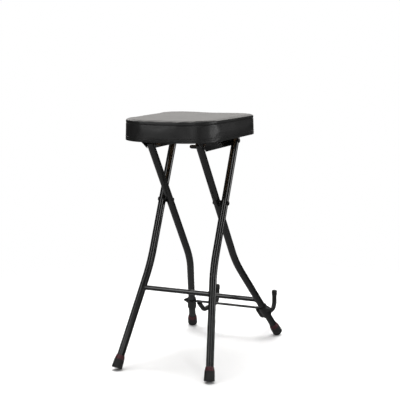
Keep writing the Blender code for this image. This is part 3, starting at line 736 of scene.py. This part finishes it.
def seat_rail():
    """A plate with a flange bent along its top, sloped ends, the pin's slot and the hinge hole."""
    rail = begin("rail")
    length = rail_rear - rail_front
    middle = (rail_middle_x, (rail_front + rail_rear) / 2, (rail_top + rail_bottom) / 2)
    bpy.ops.mesh.primitive_cube_add(
        size=1, location=middle, scale=(rail_thickness, length, rail_top - rail_bottom)
    )
    bpy.ops.mesh.bisect(plane_co=(0, 0, flange_under), plane_no=(0, 0, 1))
    pick(rail, "FACE", lambda face: face.normal.x < -0.9
         and face.calc_center_median().z > flange_under)
    pull((rail_thickness - flange_width, 0, 0))
    for x, z, width, steps in ((rail_outer_x, rail_top, outer_bend, 5),
                               (rail_inner_x, flange_under, inner_bend, 4)):
        pick(rail, "EDGE", lambda edge: all(abs(v.co.x - x) < 1e-5 and abs(v.co.z - z) < 1e-5
                                            for v in edge.verts))
        bpy.ops.mesh.bevel(offset=width, segments=steps)
    drop = rail_top - end_edge - rail_bottom
    for place, reach, sign in ((rail_front, nose_reach, -1), (rail_rear, tail_reach, 1)):
        bpy.ops.mesh.select_all(action="SELECT")
        bpy.ops.mesh.bisect(
            plane_co=(0, place, rail_top - end_edge),
            plane_no=(0, sign * drop, -reach),
            use_fill=True,
            clear_outer=True,
        )
    bpy.ops.object.mode_set(mode="OBJECT")
    worked_with(rail, slot_cutter(), tool_overlaps=True)
    drill = turned("drill", [(hinge_hole, -0.004), (hinge_hole, 0.004)],
                   (rail_middle_x, hinge.y, hinge.z), out_x, 40)
    worked_with(rail, drill, tool_overlaps=True)
    soften(rail, 0.00035, 40)
    return rail


fit_pair(seat_rail(), black_paint, "seat", "black_paint", "seat_rail", crease=40)


# Rail screws. Blackened steel wood screws, with pan heads and cross slots, hold each rail's
# flange to the board.
screw_head = 0.0021
screw_profile = [(0.0, 0.0), (0.0019, 0.0), (0.0036, 0.0007), (0.0041, 0.0016),
                 (0.0041, screw_head), (0.0, screw_head)]
screw_x = rail_inner_x - 0.0105
screw_rows = (rail_front + 0.012, rail_front + 0.088, hinge.y - 0.052, hinge.y + 0.020)


def cross_slot(screw, mouth, width=0.0009, length=0.0044, depth=0.0011, turned_by=0.4):
    """Sinks a cross-shaped driver slot into a screw's head."""
    for turn in (turned_by, turned_by + math.pi / 2):
        driver = begin("driver")
        bpy.ops.mesh.primitive_cube_add(
            size=1, location=mouth, rotation=(0, 0, turn), scale=(width, length, 2 * depth)
        )
        bpy.ops.object.mode_set(mode="OBJECT")
        worked_with(screw, driver, tool_overlaps=True)


for number, y in enumerate(screw_rows, 1):
    mouth = (screw_x, y, flange_under - screw_head)
    profile = rounded(screw_profile, 0.0004, 2)
    screw = turned(f"rail_screw_{number}", profile, mouth, (0, 0, 1), 32)
    cross_slot(screw, mouth)
    fit_pair(screw, black_steel, "seat", "black_zinc")


# Seat board. Birch plywood, cut to the seat's plan. Its edges are under the cover, and its bare
# face shows below. The solid itself is shown, with a rotary-cut veneer grain.
ply = Coat("birch_plywood", Specular_IOR_Level=0.3)
figure = ply.grain(0.035, 4.0, 0.55, stretch=(1.0, 0.10, 1.0), warp=1.2)
fibre = ply.grain(0.0012, 3.0, 0.6, stretch=(1.0, 0.03, 1.0))
veneer = ply.mixed((0.52, 0.34, 0.18), (0.36, 0.21, 0.10), ply.step(figure, 0.35, 0.68))
ply.give(
    Base_Color=ply.mixed(veneer, (0.25, 0.14, 0.065), ply.step(fibre, 0.60, 0.80) * 0.45),
    Roughness=ply.between(0.55, 0.75, fibre),
)
ply.bumps((fibre, 0.00015, 0.35))
for board_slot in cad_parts["seat_board"].material_slots:
    board_slot.link = "OBJECT"
    board_slot.material = ply.material


# Cushion. Dense foam on the board under a stretched black vinyl cover: a top panel sewn to a
# side band, whose lower edge is wrapped under the board and stapled. The cover is drawn flat and
# crisp, then filled out by a cloth simulation.
seat_front = pin_place.y - 0.1072
seat_rear = hinge.y + 0.0961
front_half, middle_half, rear_half = 0.137, 0.1505, 0.154
front_corner, rear_corner = 0.098, 0.088
edge_bow, long_radius = 0.003, 0.560
seat_spacing = 0.0074
seat_corners = [
    (Vector((0, seat_front, 0)), long_radius),
    (Vector((front_half, seat_front + edge_bow, 0)), front_corner),
    (Vector((middle_half, (seat_front + seat_rear) / 2, 0)), long_radius),
    (Vector((rear_half, seat_rear - edge_bow, 0)), rear_corner),
    (Vector((0, seat_rear, 0)), long_radius),
    (Vector((-rear_half, seat_rear - edge_bow, 0)), rear_corner),
    (Vector((-middle_half, (seat_front + seat_rear) / 2, 0)), long_radius),
    (Vector((-front_half, seat_front + edge_bow, 0)), front_corner),
]


def seat_plan(height):
    """Draws the seat's plan as one closed line of even steps: straights and round corners."""
    arcs = []
    for i, (corner, radius) in enumerate(seat_corners):
        back = (seat_corners[i - 1][0] - corner).normalized()
        on = (seat_corners[(i + 1) % len(seat_corners)][0] - corner).normalized()
        half = back.angle(on) / 2
        start = corner + back * radius / math.tan(half)
        centre = corner + (back + on).normalized() * radius / math.sin(half)
        arcs.append((start, centre, math.pi - 2 * half, radius))
    here = arcs[0][0]
    lift = Vector((0, 0, height))
    bpy.ops.mesh.primitive_plane_add(size=0.001, location=here + lift)
    bpy.ops.mesh.merge(type="CENTER")
    for i, (start, centre, turn, radius) in enumerate(arcs):
        steps = 2 * round(turn * radius / seat_spacing / 2)
        bend(centre + lift, (0, 0, 1), turn, steps)
        here = centre + Matrix.Rotation(turn, 3, "Z") @ (start - centre)
        gap = arcs[(i + 1) % len(arcs)][0] - here
        steps = max(1, round(gap.length / seat_spacing))
        for _ in range(steps):
            pull(gap / steps)
    bpy.ops.mesh.select_all(action="SELECT")
    bpy.ops.mesh.remove_doubles(threshold=0.001)


base_height = board_bottom + 0.0021
side_rows = (0.0040, 0.0050, 0.0065, 0.0072, 0.0072, 0.0072, 0.0056)
seam_rows = (0.0020, 0.0013, 0.0013, 0.0020, 0.0022)
seam_height = base_height + sum(side_rows) + sum(seam_rows[:2])
top_edge_rows = ((0.0003, 0.0012), (0.0008, 0.0010), (0.0022, 0.0007), (0.0060, 0.0007))
top_grid_span = 33
turned_under_rows = ((0.0005, 0.0015), (0.0015, 0.0007), (0.0110, 0.0), (0.0110, 0.0),
                     (0.0004, -0.0012))
cover = begin("seat_cover")
seat_plan(base_height)
bpy.ops.mesh.edge_face_add()
for rise in side_rows + seam_rows:
    pull((0, 0, rise))
for inset, rise in top_edge_rows:
    bpy.ops.mesh.inset(thickness=inset, depth=rise)
top_height = max(v.co.z for v in bmesh.from_edit_mesh(cover.data).verts)
bpy.ops.mesh.delete(type="ONLY_FACE")
pick(cover, "EDGE", lambda edge: min(v.co.z for v in edge.verts) > top_height - 1e-5)
bpy.ops.mesh.select_mode(type="VERT")
rim = bmesh.from_edit_mesh(cover.data)
first = max((v for v in rim.verts if v.select), key=lambda v: v.co.x - v.co.y)
rim.select_history.clear()
rim.select_history.add(first)
bmesh.update_edit_mesh(cover.data)
bpy.ops.mesh.fill_grid(span=top_grid_span)
pick(cover, "FACE", lambda face: len(face.verts) > 20)
for inset, rise in turned_under_rows:
    bpy.ops.mesh.inset(thickness=inset, depth=rise)
done()
sewn = cover.vertex_groups.new(name="sewn")
on_seam = [v.index for v in cover.data.vertices if abs(v.co.z - seam_height) < 0.0003]
sewn.add(on_seam, 1.0, "REPLACE")


def filled_out(piece, rows_held, swell, side_cap, top_cap, frames_run=20):
    """Blows the cover out like foam under vinyl, and holds how far any point may go."""
    only(piece)
    before = [vertex.co.copy() for vertex in piece.data.vertices]
    held = piece.vertex_groups.new(name="held")
    held.add([i for i, co in enumerate(before) if co.z < rows_held], 1.0, "REPLACE")
    cloth = piece.modifiers.new("foam", "CLOTH")
    cloth.settings.quality = 6
    cloth.settings.mass = 0.4
    cloth.settings.tension_stiffness = cloth.settings.compression_stiffness = 25
    cloth.settings.shear_stiffness = 12
    cloth.settings.bending_stiffness = 6
    cloth.settings.use_pressure = True
    cloth.settings.uniform_pressure_force = swell
    cloth.settings.effector_weights.gravity = 0
    cloth.settings.vertex_group_mass = "held"
    cloth.collision_settings.use_collision = False
    cloth.point_cache.frame_start, cloth.point_cache.frame_end = 1, frames_run
    for number in range(1, frames_run + 1):
        bpy.context.scene.frame_set(number)
    bpy.ops.object.modifier_apply(modifier=cloth.name)
    bpy.context.scene.frame_set(1)
    for vertex, place in zip(piece.data.vertices, before):
        move = vertex.co - place
        across = Vector((move.x, move.y, 0))
        rise = max(move.z, 0)
        across = across * (side_cap / (side_cap + across.length))
        vertex.co = place + across + Vector((0, 0, rise * top_cap / (top_cap + rise)))


seam_pull = 0.0013
half_height = 0.029
side_rise, front_rise, rear_fall = 0.0022, 0.0022, 0.0040
drawn = [vertex.co.copy() for vertex in cover.data.vertices]
filled_out(cover, rows_held=board_bottom + 0.0030, swell=4.0, side_cap=0.0032,
           top_cap=0.0024)
for vertex, start in zip(cover.data.vertices, drawn):
    # The thread draws the seam in. The foam is thicker towards the sides and the front.
    if vertex.index in on_seam:
        vertex.co -= vertex.normal * seam_pull
    if start.z > board_bottom + 0.0018:
        share = (vertex.co.z - board_bottom - half_height) / half_height
        back = (start.y - seat_front) / (seat_rear - seat_front)
        vertex.co.z += share * side_rise * min(1.0, (start.x / 0.150) ** 2)
        vertex.co.z += max(0.0, share) * (front_rise - rear_fall * back)
only(cover)
smooth = cover.modifiers.new("smooth", "SUBSURF")
smooth.levels = smooth.render_levels = 1
smooth.use_limit_surface = False
bpy.ops.object.modifier_apply(modifier=smooth.name)

vinyl = Coat("black_vinyl", Specular_IOR_Level=0.5)
pebble = vinyl.node("TexVoronoi", {"feature": "SMOOTH_F1"},
                    {"Vector": vinyl.place, "Scale": 1 / 0.0014, "Smoothness": 0.6})
creases = vinyl.grain(0.007, 4.0, 0.6, warp=1.5)
worn = vinyl.grain(0.06, 4.0, 0.55)
vinyl.give(
    Base_Color=vinyl.mixed((0.0032, 0.0032, 0.0034), (0.0058, 0.0057, 0.0056), worn),
    Roughness=vinyl.between(0.34, 0.42, worn) + pebble * 0.05,
)
vinyl.bumps((pebble, 0.00009, 0.30), (creases, 0.0003, 0.10))
fit(cover, vinyl.material, "seat", "black_vinyl", "seat_cushion", crease=60)


# Seams and hem lines. The cover's top panel is sewn to its band with a welted seam. Two thin
# corded lines run round the band near its lower edge, and an upright seam joins it on each side,
# near the rear corners.
def traced(name, source, point, normal, keep):
    """The line in which a plane meets a surface, cut to where keep() is true, as edges."""
    only(source)
    bpy.ops.object.duplicate()
    line = bpy.context.object
    line.name = line.data.name = name
    line.data.materials.clear()
    bpy.ops.object.mode_set(mode="EDIT")
    bpy.ops.mesh.select_mode(type="VERT")
    bpy.ops.mesh.select_all(action="SELECT")
    bpy.ops.mesh.bisect(plane_co=point, plane_no=normal, threshold=0.000001)
    bpy.ops.mesh.select_all(action="INVERT")
    bpy.ops.mesh.delete(type="EDGE_FACE")
    point, normal = Vector(point), Vector(normal)
    pick(line, "VERT",
         lambda v: abs((v.co - point).dot(normal)) > 0.00001 or not keep(v.co))
    bpy.ops.mesh.delete(type="VERT")
    bpy.ops.mesh.select_all(action="SELECT")
    bpy.ops.mesh.remove_doubles(threshold=0.0002)
    bpy.ops.object.mode_set(mode="OBJECT")
    return line


def corded(line, radius):
    """Turns a traced line into a thin round cord."""
    only(line)
    bpy.ops.object.convert(target="CURVE")
    cord = bpy.context.object
    cord.data.bevel_depth = radius
    cord.data.bevel_resolution = 2
    cord.data.use_fill_caps = True
    bpy.ops.object.convert(target="MESH")
    return bpy.context.object


def sewn_line(name, source, group):
    """The run of a cover's points that are all in a group, as edges."""
    only(source)
    bpy.ops.object.duplicate()
    line = bpy.context.object
    line.name = line.data.name = name
    number = line.vertex_groups[group].index
    wanted = {v.index for v in line.data.vertices
              if any(g.group == number and g.weight > 0.99 for g in v.groups)}
    bpy.ops.object.mode_set(mode="EDIT")
    pick(line, "VERT", lambda v: v.index not in wanted)
    bpy.ops.mesh.delete(type="VERT")
    bpy.ops.object.mode_set(mode="OBJECT")
    return line


rim_radius, hem_radius, band_radius = 0.0008, 0.0009, 0.0007
hem_heights = (board_bottom + 0.0066, board_bottom + 0.0117)
band_y = -0.002
band_from, band_to = board_bottom + 0.001, board_bottom + 0.0555
cords = [corded(sewn_line("rim_seam", cover, "sewn"), rim_radius)]
for number, height in enumerate(hem_heights, 1):
    hem = traced(f"hem_line_{number}", cover, (0, 0, height), (0, 0, 1), lambda p: True)
    cords.append(corded(hem, hem_radius))
for cord in cords:
    fit(cord, vinyl.material, "seat", "black_vinyl", crease=60)
seam = traced("band_seam", cover, (0, band_y, 0), (0, 1, 0),
              lambda p: p.x > 0.12 and band_from < p.z < band_to)
fit_pair(corded(seam, band_radius), vinyl.material, "seat", "black_vinyl", crease=60)


# Staples. They are bent from zinc-plated wire, and are driven up into the board to hold the
# cover's wrapped edge.
zinc = Coat("zinc_plate", Metallic=1.0)
zinc_cloud = zinc.grain(0.002, 3.0)
zinc.give(Base_Color=zinc.mixed((0.55, 0.55, 0.56), (0.70, 0.70, 0.71), zinc_cloud),
          Roughness=zinc.between(0.25, 0.42, zinc_cloud))
staple_size = (0.0105, 0.0011, 0.0008)
front_row, rear_row = seat_front + 0.0225, seat_rear - 0.0245
row_step, side_step = 0.026, 0.030
side_splay, side_turn = 0.062, 0.06
staple_places = []
for y, count in ((front_row, 7), (rear_row, 9)):
    for i in range(count):
        x = (i - (count - 1) / 2) * row_step
        staple_places.append((x, y, 0.12 * math.sin(5 * i + count)))
for side in (1, -1):
    for i in range(9):
        along = i * side_step
        x = side * (0.1150 + side_splay * along)
        turn = math.pi / 2 - side * side_turn + 0.1 * math.sin(3 * i)
        staple_places.append((x, seat_front + 0.080 + along, turn))
staples = begin("cover_staples")
for x, y, turn in staple_places:
    bpy.ops.mesh.primitive_cube_add(size=1, location=(x, y, board_bottom - 0.00015),
                                    rotation=(0, 0, turn), scale=staple_size)
bpy.ops.object.mode_set(mode="OBJECT")
soften(staples, 0.0003)
fit(staples, zinc.material, "seat", "black_zinc")


# Studio. A pale floor fades out into white surroundings. A large soft light hangs overhead. Tall
# strips and low fills stand round the front and sides, for the highlights that run down the
# tubes and round the cushion, and a wide panel behind gives the seat's top its sheen.
bpy.ops.object.select_all(action="DESELECT")
bpy.ops.mesh.primitive_circle_add(vertices=96, radius=1.6, fill_type="NGON", location=(0, 0, 0))
floor = bpy.context.object
floor.name = "floor"
paper = Coat("pale_floor", Specular_IOR_Level=0.2, Roughness=0.75)
paper.give(Base_Color=paper.mixed((0.86, 0.86, 0.86), (0.89, 0.89, 0.89), paper.grain(0.5)))
distance = paper.node("VectorMath", {"operation": "LENGTH"}, {0: paper.place}, out=1)
paper.give(Alpha=1 - paper.step(distance, 0.45, 1.35))
floor.data.materials.append(paper.material)
floor.visible_glossy = False

# The camera sees white. The stool is lit and mirrored by a room that is dim at its middle
# height: each level has its height, from 0 straight down to 1 straight up, and its brightness.
room_levels = ((0.0, 0.30), (0.25, 0.24), (0.40, 0.05), (0.47, 0.05), (0.54, 0.12), (0.88, 0.12),
               (1.0, 1.00))
world = bpy.data.worlds.new("white_surroundings")
world.use_nodes = True
sky = world.node_tree
ray = sky.nodes.new("ShaderNodeLightPath")
way = sky.nodes.new("ShaderNodeTexCoord")
split = sky.nodes.new("ShaderNodeSeparateXYZ")
height_share = sky.nodes.new("ShaderNodeMapRange")
height_share.inputs["From Min"].default_value = -1.0
ramp = sky.nodes.new("ShaderNodeValToRGB")
stops = ramp.color_ramp.elements
for height, _ in room_levels[1:-1]:
    stops.new(height)
for stop, (height, level) in zip(stops, room_levels):
    stop.position, stop.color = height, (level, level, level, 1)
blend = sky.nodes.new("ShaderNodeMix")
blend.data_type = "RGBA"
blend.inputs[7].default_value = (1, 1, 1, 1)
for out, into in (
    (way.outputs["Generated"], split.inputs[0]),
    (split.outputs["Z"], height_share.inputs["Value"]),
    (height_share.outputs[0], ramp.inputs[0]),
    (ray.outputs["Is Camera Ray"], blend.inputs[0]),
    (ramp.outputs[0], blend.inputs[6]),
    (blend.outputs[2], sky.nodes["Background"].inputs[0]),
):
    sky.links.new(out, into)
bpy.context.scene.world = world


def panel(name, place, width, height, radiance, tint=(1, 1, 1), sheen=True):
    """A soft rectangular light that faces the stool and isn't seen itself."""
    light = bpy.data.lights.new(name, "AREA")
    light.shape = "RECTANGLE"
    light.size, light.size_y = width, height
    light.energy = radiance * math.pi * width * height
    light.color = tint
    holder = bpy.data.objects.new(name, light)
    bpy.context.scene.collection.objects.link(holder)
    holder.location = place
    facing = Vector((0, 0, 0.5)) - Vector(place)
    holder.rotation_euler = facing.to_track_quat("-Z", "Y").to_euler()
    holder.visible_camera = False
    holder.visible_glossy = sheen


panel("overhead", (-0.3, 0.2, 2.9), 2.2, 2.2, 7.4, sheen=False)
panel("left_strip", (-1.29, -2.43, 2.35), 0.45, 1.9, 4.8)
panel("left_low", (-1.38, -2.38, 0.75), 1.20, 1.3, 1.2)
panel("front_fill", (0.55, -2.80, 0.70), 2.60, 1.2, 0.75)
panel("front_low", (1.66, -2.26, 0.45), 0.80, 0.7, 2.0)
panel("right_strip", (1.97, -1.92, 2.35), 0.45, 1.9, 4.8)
panel("right_side", (2.75, -0.30, 0.44), 1.90, 0.75, 0.75)
panel("right_low", (2.34, 1.14, 0.95), 0.85, 1.0, 4.4)
panel("back_strip", (-2.10, 1.77, 2.30), 0.50, 1.9, 2.5)
panel("rear_panel", (-2.1, 4.3, 2.3), 5.4, 3.4, 1.38, tint=(1.0, 0.972, 0.94))

camera = bpy.data.cameras.new("camera")
camera.sensor_width = 36.0
camera.lens = 97.4675
eye_place = Vector((1.3534, -2.99728, 0.99304))
turn, tip, roll = (math.radians(degrees) for degrees in (24.6155, 9.0447, -0.2969))
ahead = Vector((-math.sin(turn) * math.cos(tip), math.cos(turn) * math.cos(tip), -math.sin(tip)))
right = Vector((math.cos(turn), math.sin(turn), 0))
above = right.cross(ahead)
across = right * math.cos(roll) + above * math.sin(roll)
upward = above * math.cos(roll) - right * math.sin(roll)
facing = Matrix((across, upward, -ahead)).transposed().to_4x4()
eye = bpy.data.objects.new("camera", camera)
bpy.context.scene.collection.objects.link(eye)
eye.matrix_world = Matrix.Translation(eye_place) @ facing
bpy.context.scene.camera = eye
bpy.context.scene.view_settings.view_transform = "Standard"
